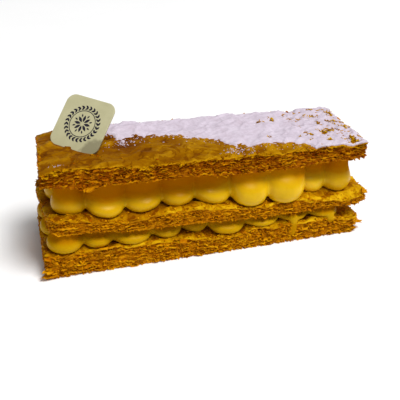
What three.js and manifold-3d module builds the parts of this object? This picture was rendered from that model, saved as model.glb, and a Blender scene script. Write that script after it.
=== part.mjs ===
// A slice of mille feuille: three slabs of flaky puff pastry, two layers of piped custard dots between
// them, icing sugar over the back of the top slab, and a small square plaque that stands in its crust.
//
// Millimetres. X runs along the slice, Y from its front to its back, and Z up. The origin is the middle of
// the base, which lies flat on z = 0.

import * as THREE from "three";
import { mergeVertices } from "three/addons/utils/BufferGeometryUtils.js";
import Module from "manifold-3d";

const wasm = await Module();
wasm.setup();

// ---------------------------------------------------------------- driving dimensions

const WIDTH = 37; // of every pastry slab, front to back
const CONTACT_GAP = 0.3; // kept between two pieces that lie against each other

// For each slab: its length and how far its middle is moved along X, how much its left end leans, the
// heights of its underside and top at the left and right ends, how far its back left corner sags, and how
// many leaves its cut sides show.
const SLABS = {
  bottom: {
    length: 130.5,
    shift: -1.7,
    skew: 1,
    underside: [0, 0],
    top: [10.2, 8.4],
    sag: 0,
    leaves: 5,
    seed: 11,
  },
  middle: {
    length: 132.5,
    shift: 0.6,
    skew: -1.5,
    underside: [18.6, 13.2],
    top: [24.6, 18.8],
    sag: 0,
    leaves: 4,
    seed: 23,
  },
  top: {
    length: 128.5,
    shift: -0.8,
    skew: 2.5,
    underside: [37.4, 35.1],
    top: [45.4, 42.5],
    sag: 2.2,
    leaves: 5,
    seed: 37,
  },
};

const SAG_REACH = 10; // from a corner to where its sag ends
const LEAF_RELIEF = 0.75; // how far the leaves stand out of a slab's cut side, and the gaps sink into it
const RIM_DROOP = 0.5; // how far the rim of a hidden face falls away from the custard
const CRUST_DROOP = 0.2; // how far the rim of the top slab's crust falls
const CRUST_BUMPS = 0.45; // height of the blisters in that crust
const FACE_INSET = 2.4; // from a slab's edge to the flat part of a hidden face
const SLAB_STEPS = [40, 11]; // steps of relief along a slab and across it

// Dots piped along the front of each custard layer, from the left: how wide each is, how far its front
// stands behind the slabs' edge, the share of its height that its full lobe takes, and how many times the
// room it has it is wide. A dot that bulges past the edge has a negative setback.
const CUSTARDS = {
  lower: {
    below: SLABS.bottom,
    above: SLABS.middle,
    leftEnd: -65.6,
    widths: [13.2, 11.4, 15.1, 12.9, 11.3, 14.9, 15, 13.8, 13.5],
    setbacks: [-0.9, 0, -0.6, 1.2, 2.9, -0.5, -0.4, 0.5, -0.1],
    lobes: [0.6, 0.56, 0.56, 0.56, 0.56, 0.55, 0.55, 0.55, 0.58],
    swells: [1.08, 1.08, 1.08, 1.08, 1.08, 1.08, 1.08, 1.08, 1.08],
    seed: 5,
  },
  upper: {
    below: SLABS.middle,
    above: SLABS.top,
    leftEnd: -62.5,
    widths: [12.5, 14.2, 14.7, 13.2, 15.1, 14.9, 15.9, 10.6, 13.1],
    setbacks: [2.4, 0.9, 1.7, 2, 1.6, -1.3, -1.7, 3.7, 3.4],
    lobes: [0.52, 0.33, 0.36, 0.4, 0.44, 0.6, 0.64, 0.48, 0.5],
    swells: [1.08, 1.08, 1.08, 1.08, 1.08, 1.08, 1.1, 1.32, 1.14],
    seed: 8,
  },
};
const DOT_DEPTH = 13.6; // of a dot, front to back
const CORE_DEPTH = 15; // of the custard that closes the clefts between the dots
const DOT_SEGMENTS = 14; // even, so that a dot can be drawn out
const DOT_TOLERANCE = 0.03; // by which the joined dots' surface may be simplified
const LEFT_STEP = 1.2; // how far the left end's dots behind the front one stand out past it

const SUGAR_DEPTH = 0.55;
const SUGAR_MARGIN = 0.9; // bare crust left along the back
// The sugar's front edge, from behind the plaque to the right end, where it covers the whole slab.
const SUGAR_EDGE = [
  [-46, 12],
  [-37, 9.5],
  [-27, 6.5],
  [-11, 2.2],
  [3, -4],
  [11, -11.5],
  [30, -13],
  [45, -17.6],
  [61.5, -17.6],
];
const SUGAR_STEPS = [28, 5]; // along the sheet and across it

const PLAQUE = {
  side: 21.3,
  cornerRadius: 3.6,
  cornerSegments: 6,
  thickness: 0.8,
  centre: [-47.3, 3.8, 52.3],
  turn: -41, // degrees about Z
  lean: 45.2, // degrees backwards from upright
  spin: -4.5, // degrees in its own plane
};

const FINISHES = {
  pastry: { color: 0xa86c14, roughness: 0.65, metalness: 0 },
  custard: { color: 0xdcae2c, roughness: 0.35, metalness: 0 },
  sugar: { color: 0xe4dae6, roughness: 0.95, metalness: 0 },
  plaque: { color: 0xc3bd90, roughness: 0.5, metalness: 0 },
};

// ---------------------------------------------------------------- numbers and noise

const { lerp, degToRad, smoothstep } = THREE.MathUtils;

// Repeatable number from 0 to 1 for a lattice point.
function latticeValue(i, j, seed) {
  let hash = Math.imul(i, 0x27d4eb2d) ^ Math.imul(j, 0x165667b1) ^ Math.imul(seed, 0x9e3779b1);
  hash = Math.imul(hash ^ (hash >>> 15), 0x85ebca6b);
  hash = Math.imul(hash ^ (hash >>> 13), 0xc2b2ae35);
  return ((hash ^ (hash >>> 16)) >>> 0) / 0xffffffff;
}

// Smooth noise from -1 to 1 over the plane, one lump per unit.
function noise(x, y, seed) {
  const [i, j] = [Math.floor(x), Math.floor(y)];
  const [s, t] = [smoothstep(x - i, 0, 1), smoothstep(y - j, 0, 1)];
  const near = lerp(latticeValue(i, j, seed), latticeValue(i + 1, j, seed), s);
  const far = lerp(latticeValue(i, j + 1, seed), latticeValue(i + 1, j + 1, seed), s);
  return 2 * lerp(near, far, t) - 1;
}

// ---------------------------------------------------------------- meshes and solids

// Two triangles for the cell between corners a, b, c and d, anticlockwise as seen from outside.
const cell = (a, b, c, d) => [[a, b, c], [a, c, d]];

const turnedOver = (triangles) => triangles.map(([a, b, c]) => [a, c, b]);

// The border of a grid of cells, anticlockwise from its first corner.
function gridBorder([long, deep]) {
  const border = [];
  for (let i = 0; i < long; i++) border.push([i, 0]);
  for (let j = 0; j < deep; j++) border.push([long, j]);
  for (let i = long; i > 0; i--) border.push([i, deep]);
  for (let j = deep; j > 0; j--) border.push([0, j]);
  return border;
}

function geometryOf(points, triangles) {
  const geometry = new THREE.BufferGeometry();
  geometry.setAttribute("position", new THREE.Float32BufferAttribute(points.flat(), 3));
  geometry.setIndex(triangles.flat());
  return geometry;
}

// A closed geometry as a solid that can be joined and cut.
function solidFrom(geometry) {
  const bare = geometry.clone();
  bare.deleteAttribute("normal");
  bare.deleteAttribute("uv");
  const merged = mergeVertices(bare, 1e-4);
  const mesh = new wasm.Mesh({
    numProp: 3,
    vertProperties: new Float32Array(merged.attributes.position.array),
    triVerts: new Uint32Array(merged.index.array),
  });
  return new wasm.Manifold(mesh);
}

function geometryFrom(solid) {
  const { vertProperties, triVerts } = solid.getMesh();
  const geometry = new THREE.BufferGeometry();
  geometry.setAttribute("position", new THREE.BufferAttribute(vertProperties, 3));
  geometry.setIndex(new THREE.BufferAttribute(triVerts, 1));
  return geometry;
}

function namedMesh(name, geometry, finish) {
  const faceted = geometry.index ? geometry.toNonIndexed() : geometry;
  faceted.computeVertexNormals();
  const mesh = new THREE.Mesh(faceted, new THREE.MeshStandardMaterial(finish));
  mesh.name = name;
  return mesh;
}

// ---------------------------------------------------------------- pastry slabs

// Height of a slab's underside or top at x, straight from its left end to its right end.
function heightAt(slab, face, x) {
  const along = (x - slab.shift) / slab.length + 0.5;
  return lerp(slab[face][0], slab[face][1], along);
}

// Height of a slab's top with the sag of its back left corner.
function topAt(slab, x, y) {
  const fromCorner = Math.hypot(x - slab.shift + slab.length / 2, WIDTH / 2 - y);
  return heightAt(slab, "top", x) - slab.sag * (1 - smoothstep(fromCorner, 0, SAG_REACH));
}

// The point of a slab's plan at step i along it and step j across it. The left end leans by the skew.
function planPoint(slab, [i, j]) {
  const [along, across] = [i / SLAB_STEPS[0] - 0.5, j / SLAB_STEPS[1] - 0.5];
  const lean = slab.skew * across * (0.5 - along);
  return [slab.shift + along * slab.length + lean, across * WIDTH];
}

// The steps round a slab's edge, each with the direction that faces outward there.
const EDGE = gridBorder(SLAB_STEPS).map(([i, j]) => {
  const [long, deep] = SLAB_STEPS;
  const [x, y] = [Number(i === long) - Number(i === 0), Number(j === deep) - Number(j === 0)];
  return { step: [i, j], outward: new THREE.Vector2(x, y).normalize().toArray() };
});

// How far the cut side stands out at a place of the edge and a row. Odd rows are the ragged rims of
// leaves, and even rows the gaps between them.
function sideRelief(slab, place, row) {
  const ragged = noise(place * 0.7, row * 3.1, slab.seed);
  const broad = noise(place * 0.16, row * 0.9, slab.seed + 1);
  const share = row % 2 ? 0.25 + 0.7 * ragged + 0.4 * broad : 0.45 * ragged - 0.75;
  return LEAF_RELIEF * share;
}

// Rings of points round the slab, from its underside to its top. Its outermost rows droop.
function sideRings(slab, underDroop, topDroop) {
  const rows = 2 * slab.leaves;
  const droops = { 0: underDroop, [rows]: -topDroop };
  return Array.from({ length: rows + 1 }, (_, row) =>
    EDGE.map(({ step, outward }, place) => {
      const [x, y] = planPoint(slab, step);
      const relief = sideRelief(slab, place, row);
      const isRim = row in droops;
      const wander = isRim ? 0 : 0.3 * noise(place * 0.45, row, slab.seed + 2);
      const droop = isRim ? droops[row] * (0.5 + 0.5 * noise(place * 0.6, row, slab.seed + 3)) : 0;
      const level = lerp(heightAt(slab, "underside", x), topAt(slab, x, y), (row + wander) / rows);
      return [x + outward[0] * relief, y + outward[1] * relief, level + droop];
    }),
  );
}

// The face that closes a ring of points as it is, all in one plane.
function flatFace(points, ringStart) {
  const outline = EDGE.map((_, k) => new THREE.Vector2(...points[ringStart + k]));
  return THREE.ShapeUtils.triangulateShape(outline, []).map((corners) => corners.map((k) => ringStart + k));
}

// A face that the custard touches: it runs in from the drooping rim to a flat middle.
function hiddenFace(slab, face, points, ringStart) {
  const middleStart = points.length;
  EDGE.forEach(({ step, outward }, place) => {
    const inset = FACE_INSET + 0.4 * noise(place * 0.9, 0.5, slab.seed + 4);
    const [x, y] = planPoint(slab, step).map((part, axis) => part - outward[axis] * inset);
    points.push([x, y, heightAt(slab, face, x)]);
  });
  const rim = EDGE.flatMap((_, k) => {
    const next = (k + 1) % EDGE.length;
    return cell(ringStart + k, ringStart + next, middleStart + next, middleStart + k);
  });
  return [...rim, ...flatFace(points, middleStart)];
}

// The blisters of the top slab's crust.
function crustBump(x, y) {
  const broad = noise(x / 13, y / 11, 51);
  const small = noise(x / 5.5 + 40, y / 5, 52);
  return CRUST_BUMPS * (0.7 * broad + 0.5 * small);
}

// The crust, as a grid of cells that takes its border from the ring.
function crustFace(slab, points, ringStart) {
  const [long, deep] = SLAB_STEPS;
  const index = Array.from({ length: long + 1 }, () => []);
  EDGE.forEach(({ step: [i, j] }, k) => {
    index[i][j] = ringStart + k;
  });
  for (let i = 1; i < long; i++) {
    for (let j = 1; j < deep; j++) {
      const [x, y] = planPoint(slab, [i, j]);
      index[i][j] = points.length;
      points.push([x, y, topAt(slab, x, y) + crustBump(x, y)]);
    }
  }
  const triangles = [];
  for (let i = 0; i < long; i++) {
    for (let j = 0; j < deep; j++) {
      triangles.push(...cell(index[i][j], index[i + 1][j], index[i + 1][j + 1], index[i][j + 1]));
    }
  }
  return triangles;
}

// The cut sides of a slab, as triangles between its rings.
function sideFaces(rings) {
  const count = EDGE.length;
  return rings.slice(1).flatMap((_, row) =>
    EDGE.flatMap((_, k) => {
      const next = (k + 1) % count;
      const [low, high] = [row * count, (row + 1) * count];
      return cell(low + k, low + next, high + next, high + k);
    }),
  );
}

function bottomSlabGeometry() {
  const slab = SLABS.bottom;
  const rings = sideRings(slab, 0, RIM_DROOP);
  const points = rings.flat();
  const topRing = points.length - EDGE.length;
  const under = turnedOver(flatFace(points, 0));
  return geometryOf(points, [sideFaces(rings), under, hiddenFace(slab, "top", points, topRing)].flat());
}

function middleSlabGeometry() {
  const slab = SLABS.middle;
  const rings = sideRings(slab, RIM_DROOP, RIM_DROOP);
  const points = rings.flat();
  const topRing = points.length - EDGE.length;
  const under = turnedOver(hiddenFace(slab, "underside", points, 0));
  return geometryOf(points, [sideFaces(rings), under, hiddenFace(slab, "top", points, topRing)].flat());
}

// The top slab has a groove where the plaque's lower edge stands.
function topSlabGeometry() {
  const slab = SLABS.top;
  const rings = sideRings(slab, RIM_DROOP, CRUST_DROOP);
  const points = rings.flat();
  const topRing = points.length - EDGE.length;
  const under = turnedOver(hiddenFace(slab, "underside", points, 0));
  const whole = geometryOf(points, [sideFaces(rings), under, crustFace(slab, points, topRing)].flat());
  const groove = plateGeometry(CONTACT_GAP).applyMatrix4(plaquePlacement());
  return geometryFrom(solidFrom(whole).subtract(solidFrom(groove)));
}

// ---------------------------------------------------------------- custard

// A dot's outline from its underside to its top, as shares of its radii: a full lobe, then a neck that
// stands back from the slabs' edge. Each ring lies at shares of the lobe's height and of the neck's. A
// drawn out dot reaches across and deep, and a round one reaches round on every side.
const DOT_RINGS = [
  { lobe: 0, neck: 0, across: 0.8, deep: 0.8, round: 0.8 },
  { lobe: 0.5, neck: 0, across: 1, deep: 1, round: 1 },
  { lobe: 0.85, neck: 0, across: 0.98, deep: 0.86, round: 0.88 },
  { lobe: 1, neck: 0.2, across: 0.95, deep: 0.5, round: 0.74 },
  { lobe: 1, neck: 1, across: 0.95, deep: 0.38, round: 0.66 },
];

// Stretches a geometry of height 1 over the space between two slabs, apart from the contact gaps.
function pressBetween({ below, above }, geometry) {
  const position = geometry.attributes.position;
  for (let k = 0; k < position.count; k++) {
    const x = position.getX(k);
    const floor = heightAt(below, "top", x) + CONTACT_GAP;
    const ceiling = heightAt(above, "underside", x) - CONTACT_GAP;
    position.setZ(k, lerp(floor, ceiling, position.getZ(k)));
  }
  return geometry;
}

// The ring of points round a dot at one height of its outline. It is drawn out from the dot's centre at the
// front to its centre at the back, which a round dot has at the same place.
function dotRing({ x, radiusX, front, back, lobeShare }, { lobe, neck, across, deep, round }) {
  const [shareX, shareY] = front === back ? [round, round] : [across, deep];
  return Array.from({ length: DOT_SEGMENTS }, (_, k) => {
    const angle = (2 * Math.PI * (k + 0.5)) / DOT_SEGMENTS;
    const y = Math.sin(angle) < 0 ? front : back;
    return [
      x + radiusX * shareX * Math.cos(angle),
      y + (shareY * DOT_DEPTH * Math.sin(angle)) / 2,
      lobe * lobeShare + neck * (1 - lobeShare),
    ];
  });
}

function dotGeometry(dot) {
  const { x, front, back } = dot;
  const rings = DOT_RINGS.map((ring) => dotRing(dot, ring));
  const points = rings.flat();
  const topRing = points.length - DOT_SEGMENTS;
  const [under, over] = [points.length, points.length + 1];
  points.push([x, (front + back) / 2, 0], [x, (front + back) / 2, 1]);
  const triangles = Array.from({ length: DOT_SEGMENTS }, (_, k) => k).flatMap((k) => {
    const next = (k + 1) % DOT_SEGMENTS;
    const sides = rings.slice(1).flatMap((_, row) => {
      const [low, high] = [row * DOT_SEGMENTS, (row + 1) * DOT_SEGMENTS];
      return cell(low + k, low + next, high + next, high + k);
    });
    return [[under, next, k], [over, topRing + k, topRing + next], ...sides];
  });
  return geometryOf(points, triangles);
}

// One column across the slice for each dot of the front row: where it stands, how wide its dots are, and
// the centres of its front and back dots.
function dotColumns({ leftEnd, widths, setbacks, lobes, swells, seed }) {
  let left = leftEnd;
  return widths.map((width, k) => {
    left += width;
    const edge = WIDTH / 2 - DOT_DEPTH / 2;
    const backSetback = 1.6 * noise(k * 1.7, 0.5, seed) - 0.7;
    return {
      x: left - width / 2,
      radiusX: (width / 2) * swells[k],
      front: setbacks[k] - edge,
      back: edge - backSetback,
      lobeShare: lobes[k],
    };
  });
}

// The custard layer. At the ends of the slice the three round dots of a column show. Between the ends a
// column is drawn out from front to back, and a core closes the clefts between the columns.
function custardGeometry(custard) {
  const columns = dotColumns(custard);
  const ends = [columns[0], columns.at(-1)];
  const endDots = ends.flatMap((column, end) => {
    const { x, front, back } = column;
    const behind = end === 0 ? x - LEFT_STEP : x;
    const places = [[x, front], [behind, (front + back) / 2], [behind, back]];
    return places.map(([placeX, y]) => ({ ...column, x: placeX, front: y, back: y }));
  });
  const [left, right] = ends.map(({ x }) => x);
  const core = new THREE.BoxGeometry(right - left, CORE_DEPTH, 1).translate((left + right) / 2, 0, 0.5);
  const pieces = [core, ...[...endDots, ...columns.slice(1, -1)].map(dotGeometry)];
  const joined = wasm.Manifold.union(pieces.map((piece) => solidFrom(pressBetween(custard, piece))));
  return geometryFrom(joined.simplify(DOT_TOLERANCE));
}

// ---------------------------------------------------------------- icing sugar

// One face of the sheet of sugar, which follows the crust. lift is its height over the crust, as a
// function of the step along and across.
function sugarLayer(lift) {
  const edge = new THREE.CatmullRomCurve3(SUGAR_EDGE.map(([x, y]) => new THREE.Vector3(x, y, 0)));
  const [long, deep] = SUGAR_STEPS;
  const points = [];
  for (let i = 0; i <= long; i++) {
    const { x, y: start } = edge.getPointAt(i / long);
    for (let j = 0; j <= deep; j++) {
      const y = lerp(start, WIDTH / 2 - SUGAR_MARGIN, j / deep);
      points.push([x, y, heightAt(SLABS.top, "top", x) + crustBump(x, y) + lift(i, j)]);
    }
  }
  return points;
}

// The sheet of sugar, which thins out towards its edges.
function sugarGeometry() {
  const [long, deep] = SUGAR_STEPS;
  const thickness = (i, j) => SUGAR_DEPTH * (i % long && j % deep ? 1 : 0.35);
  const points = [...sugarLayer(() => CONTACT_GAP), ...sugarLayer((i, j) => CONTACT_GAP + thickness(i, j))];
  const indexOf = (layer, [i, j]) => (layer * (long + 1) + i) * (deep + 1) + j;
  const triangles = [];
  for (let i = 0; i < long; i++) {
    for (let j = 0; j < deep; j++) {
      const corners = [[i, j], [i + 1, j], [i + 1, j + 1], [i, j + 1]];
      triangles.push(...turnedOver(cell(...corners.map((corner) => indexOf(0, corner)))));
      triangles.push(...cell(...corners.map((corner) => indexOf(1, corner))));
    }
  }
  gridBorder(SUGAR_STEPS).forEach((from, k, border) => {
    const to = border[(k + 1) % border.length];
    triangles.push(...cell(indexOf(0, from), indexOf(0, to), indexOf(1, to), indexOf(1, from)));
  });
  return geometryOf(points, triangles);
}

// ---------------------------------------------------------------- plaque

function roundedSquare(side, radius) {
  const corner = side / 2 - radius;
  const shape = new THREE.Shape();
  [[1, -1], [1, 1], [-1, 1], [-1, -1]].forEach(([signX, signY], quarter) => {
    const start = (quarter - 1) * (Math.PI / 2);
    shape.absarc(signX * corner, signY * corner, radius, start, start + Math.PI / 2, false);
  });
  return shape;
}

// The plaque's plate grown by a clearance on every side, standing in the XZ plane and facing the front.
function plateGeometry(clearance) {
  const depth = PLAQUE.thickness + 2 * clearance;
  const outline = roundedSquare(PLAQUE.side + 2 * clearance, PLAQUE.cornerRadius + clearance);
  const plate = new THREE.ExtrudeGeometry(outline, {
    depth,
    bevelEnabled: false,
    curveSegments: PLAQUE.cornerSegments,
  });
  return plate.translate(0, 0, -depth / 2).rotateX(Math.PI / 2);
}

// Where the plaque leans: spun in its own plane, tipped back, then turned to face the front left.
function plaquePlacement() {
  const spin = new THREE.Matrix4().makeRotationY(degToRad(-PLAQUE.spin));
  const lean = new THREE.Matrix4().makeRotationX(degToRad(-PLAQUE.lean));
  const turn = new THREE.Matrix4().makeRotationZ(degToRad(PLAQUE.turn));
  const move = new THREE.Matrix4().makeTranslation(...PLAQUE.centre);
  return move.multiply(turn).multiply(lean).multiply(spin);
}

function plaqueMesh() {
  const mesh = namedMesh("plaque", plateGeometry(0), FINISHES.plaque);
  plaquePlacement().decompose(mesh.position, mesh.quaternion, mesh.scale);
  return mesh;
}

// ---------------------------------------------------------------- the slice

const slice = new THREE.Group();
slice.add(
  namedMesh("pastry_bottom", bottomSlabGeometry(), FINISHES.pastry),
  namedMesh("custard_lower", custardGeometry(CUSTARDS.lower), FINISHES.custard),
  namedMesh("pastry_middle", middleSlabGeometry(), FINISHES.pastry),
  namedMesh("custard_upper", custardGeometry(CUSTARDS.upper), FINISHES.custard),
  namedMesh("pastry_top", topSlabGeometry(), FINISHES.pastry),
  namedMesh("icing_sugar", sugarGeometry(), FINISHES.sugar),
  plaqueMesh(),
);

export default slice;
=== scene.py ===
import math

import bmesh
import bpy
import numpy as np
from mathutils import Matrix, Vector


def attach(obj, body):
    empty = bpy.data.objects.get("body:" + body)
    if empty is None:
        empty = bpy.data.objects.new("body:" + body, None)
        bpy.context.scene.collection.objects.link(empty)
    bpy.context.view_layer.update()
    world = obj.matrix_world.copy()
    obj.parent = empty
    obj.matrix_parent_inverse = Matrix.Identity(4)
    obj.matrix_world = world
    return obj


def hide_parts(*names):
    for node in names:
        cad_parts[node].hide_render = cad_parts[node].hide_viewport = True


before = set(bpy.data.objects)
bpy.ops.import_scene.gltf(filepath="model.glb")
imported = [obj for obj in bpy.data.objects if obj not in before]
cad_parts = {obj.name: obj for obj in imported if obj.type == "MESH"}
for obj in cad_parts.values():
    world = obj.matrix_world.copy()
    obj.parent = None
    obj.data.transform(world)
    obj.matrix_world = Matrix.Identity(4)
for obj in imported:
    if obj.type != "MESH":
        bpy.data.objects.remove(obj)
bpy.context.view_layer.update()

# All sizes and places are millimetres and degrees, in the frame's axes, unless a comment says otherwise.
MM = 0.001

# ---- driving dimensions

WIDTH = 37

# Heights go from a slab's left end to its right end. skew slants its ends, corner is the radius of its
# corners, and sag is how far its back left corner hangs. rim and hem say how far the front edges of its top
# and its underside stray from their lines: (x, rise). leaves and shards are how many it has. crinkle is how
# far its leaves wave up and down, ragged how far their edges wander, and torn the noise above which they are
# torn away. browned darkens its sides, and even evens out their tones.
SLABS = {
    "bottom": {
        "length": 130.5, "shift": -1.7, "skew": 1, "corner": 1.5, "sag": 0, "leaves": 5, "seed": 11,
        "underside": (0, 0), "top": (10.2, 8.4),
        "rim": [(-67, 0), (-39, 0.3), (-27, 0.2), (-12, -0.5), (1, -1.3), (9, -1.3), (16, 0.2), (27, 0.2),
                (49, 0.6), (59, -0.8), (64, 0)],
        "hem": [(-67, 0), (64, 0)],
        "crinkle": 0.6, "ragged": 0.9, "torn": -0.35, "shards": 3600, "browned": 0.03, "even": 0.1,
    },
    "middle": {
        "length": 132.5, "shift": 0.6, "skew": -1.5, "corner": 3.5, "sag": 0, "leaves": 3, "seed": 23,
        "underside": (18.6, 13.2), "top": (24.6, 18.8),
        "rim": [(-65, 0.6), (-59, 1.1), (-54, 0.5), (-49, -1), (-40, -1.9), (-32, -1.5), (-25, -0.5),
                (-7, 0.6), (3, -1), (17, -1.5), (30, -1.3), (38, -0.2), (48, -1.5), (57, -1.9), (65, 0.2)],
        "hem": [(-65, 1.1), (-58, -0.1), (-48, -0.1), (-37, -1.1), (-27, -1.2), (-7, -1), (12, -1.4),
                (23, -1.2), (33, -1.2), (40, -0.7), (49, 0.1), (61, 0.3), (66, 1.4)],
        "crinkle": 0.45, "ragged": 0.7, "torn": -0.35, "shards": 2300, "browned": 0.07, "even": 0.5,
    },
    "top": {
        "length": 127.9, "shift": -1.1, "skew": 2.5, "corner": 1.1, "sag": 2.2, "leaves": 4, "seed": 37,
        "underside": (37.4, 35.1), "top": (45.4, 42.5),
        "rim": [(-66, -0.5), (-58, 0.5), (-49, 0.3), (-41, 0.1), (-28, -1.5), (-22, -0.3), (-13, -0.9),
                (-6, -0.4), (6, -0.6), (16, -0.5), (25, -1), (33, -0.4), (48, 0), (57, -0.6), (63, 0)],
        "hem": [(-67, 1.6), (-58, 0.4), (-51, -0.6), (-43, 0), (-8, -0.1), (1, -1), (13, -1.4), (31, -1.1),
                (47, 0), (57, -0.4), (63, 0.3)],
        "crinkle": 0.55, "ragged": 0.65, "torn": -0.3, "shards": 2800, "browned": 0.28, "even": 0,
    },
}
# How far from its front edge a slab strays from its lines, and how far from its corner it sags.
RIM_REACH, SAG_REACH = 9, 10
# How far the middle of a crust lies below the line of its slab's top.
CRUST_SINK = 0.15
# How far leaves and walls stay above their slab's underside, and shards above what the slice stands on.
FOOT_GAP = 0.04

# Dots from the left: how wide each is, how far its front stands behind the slabs' edge, its lobe's share of
# its height, how many times the room it has it is wide, and how much deeper its colour is, as painted shade,
# or paler as painted light where it is below 0. tones is how deep the layer's colour is on the lobes and on
# the necks: painted shade on the necks under the slab above, and on the lower layer's lobes under the
# middle slab.
CUSTARDS = {
    "lower": {
        "below": "bottom", "above": "middle", "left_end": -65.6, "seed": 5,
        "widths": [13.2, 11.4, 15.1, 12.9, 11.3, 14.9, 15, 13.8, 13.5],
        "setbacks": [-0.9, 0, -0.6, 1.2, 2.9, -0.5, -0.4, 0.5, -0.1],
        "lobes": [0.6, 0.56, 0.56, 0.56, 0.56, 0.55, 0.55, 0.55, 0.58],
        "swells": [1.06] * 9,
        "shades": [0, 0, 0, 0, 0, 0.06, 0, 0, 0], "tones": (0.18, 0.85),
    },
    "upper": {
        "below": "middle", "above": "top", "left_end": -62.5, "seed": 8,
        "widths": [12.5, 14.2, 14.7, 13.2, 15.1, 14.9, 15.9, 10.6, 13.1],
        "setbacks": [2.4, 0.9, 1.7, 2, 1.6, -1.3, -1.7, 3.7, 3.4],
        "lobes": [0.52, 0.33, 0.36, 0.4, 0.44, 0.6, 0.64, 0.45, 0.48],
        "swells": [1.06] * 6 + [1.08, 1.3, 1.12],
        "shades": [0.22, 0.13, 0.13, 0.17, 0.04, 0, 0, -0.16, 0.12], "tones": (0, 1),
    },
}
DOT_DEPTH = 13.6
# How far a dot is pressed into the slabs, and how far the dots behind the first stand out at the left end.
DOT_SINK, LEFT_STEP = 0.25, 1.2
# The grid on which a layer's dots are joined.
CUSTARD_GRAIN = 0.6
# A dot's outline from its underside to its top, as shares of its radii: how far a drawn out dot reaches
# across and deep, how far a round one reaches, at what share of its lobe's height, and then of its neck's.
DOT_PROFILE = [(0.72, 0.72, 0.72, 0, 0), (0.87, 0.87, 0.87, 0.12, 0), (0.97, 0.98, 0.98, 0.32, 0),
               (1, 1, 1, 0.5, 0), (1, 0.97, 0.97, 0.7, 0), (0.98, 0.87, 0.9, 0.86, 0),
               (0.96, 0.7, 0.84, 1, 0), (0.95, 0.5, 0.75, 1, 0.22), (0.95, 0.42, 0.7, 1, 0.55),
               (0.95, 0.38, 0.66, 1, 1)]
# Smears down the front of the bottom slab: x, top, foot and half their width.
SMEARS = [(33.8, 12, 4.2, 2), (50.7, 10.2, 7.8, 2.1)]
SMEAR_STEP = 0.7

PLAQUE = {
    "side": 21.3, "corner": 3.6, "thickness": 0.8, "centre": (-47.3, 3.8, 52.3),
    "turn": -41, "lean": 45.2, "spin": -4.5,
}
# The plaque's darkening at its lower right corner fades out at 0.68 to 0.8 of this distance.
CORNER_DARKENING_REACH = 12

# The front edge of the icing sugar on the crust, from behind the plaque to the right end: (x, y).
SUGAR_EDGE = [(-46, 12), (-38, 9.6), (-35.6, 7), (-34.6, 3), (-33.2, 1.8), (-31.4, 3.4), (-28, 5.4),
              (-21.3, 4.6), (-17.8, 2.8), (-11.8, 2.2), (-7.3, 0.2), (-1.3, -2.4), (3.1, -4.2), (6.7, -8.6),
              (8.7, -12), (11.7, -10.2), (14.2, -12.6), (24.7, -11.9), (30.7, -13.2), (37.7, -15.1),
              (40.3, -18), (43, -21), (66, -21)]
# Where the sheet of sugar starts, and how far from the crust's long edges its loose bits stay.
SUGAR_LEFT, SUGAR_BORDER = -47, 0.3
# Thin patches of sugar specks on the crust: x, y, how far each reaches along X and Y, and its specks.
SPECK_PATCHES = [(9.3, -15.5, 4.5, 2, 90), (-59, -15, 2.5, 0.6, 14), (-33.4, 0, 1.4, 1.5, 60),
                 (-40.5, -3, 2, 3, 10), (-28, 2, 4, 2.5, 26), (24, -16.5, 6, 1.2, 12)]
# How far the middles of crumbs and specks lie above the crust.
CRUMB_LIFT = 0.05

# ---- numbers and noise


def lattice(i, j, seed):
    """Repeatable numbers from 0 to 1 for lattice points."""
    h = i.astype(np.uint32) * np.uint32(0x27D4EB2D) ^ j.astype(np.uint32) * np.uint32(0x165667B1)
    h = h ^ np.uint32(seed * 0x9E3779B1 & 0xFFFFFFFF)
    h = (h ^ (h >> np.uint32(15))) * np.uint32(0x85EBCA6B)
    h = (h ^ (h >> np.uint32(13))) * np.uint32(0xC2B2AE35)
    return (h ^ (h >> np.uint32(16))) / 0xFFFFFFFF


def noise(x, y, seed):
    """Smooth noise from -1 to 1 over the plane, one lump per unit."""
    x, y = np.broadcast_arrays(np.asarray(x, float), np.asarray(y, float))
    i, j = np.floor(x).astype(np.int64), np.floor(y).astype(np.int64)
    s, t = ease(x - i, 0, 1), ease(y - j, 0, 1)
    near, far = (mix(lattice(i, row, seed), lattice(i + 1, row, seed), s) for row in (j, j + 1))
    return 2 * mix(near, far, t) - 1


def mix(a, b, share):
    return a + (b - a) * share


def ease(value, low, high):
    """0 below low, 1 above high, smooth between."""
    t = np.clip((value - low) / (high - low), 0, 1)
    return t * t * (3 - 2 * t)


def threes(a, b, c):
    """Rows of three numbers, such as places."""
    return np.stack(np.broadcast_arrays(a, b, c), axis=-1)


def curve(points, x):
    """Eases through (x, value) points."""
    xs, values = np.array(points, float).T
    k = np.clip(np.searchsorted(xs, x) - 1, 0, len(xs) - 2)
    return mix(values[k], values[k + 1], ease(x, xs[k], xs[k + 1]))


# ---- meshes


def quads(grid):
    """The corners of a grid's cells."""
    return np.stack([grid[:-1, :-1], grid[1:, :-1], grid[1:, 1:], grid[:-1, 1:]], axis=-1)


def new_object(name, data):
    thing = bpy.data.objects.new(name, data)
    bpy.context.scene.collection.objects.link(thing)
    return thing


def add_piece(name, mesh, tones):
    """A piece with a mesh, whose points have tones from 0 to 1."""
    mesh.attributes.new("tone", "FLOAT", "POINT").data.foreach_set("value", tones.astype(np.float32))
    mesh.update(calc_edges=True)
    mesh.validate()
    return new_object(name, mesh)


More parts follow.
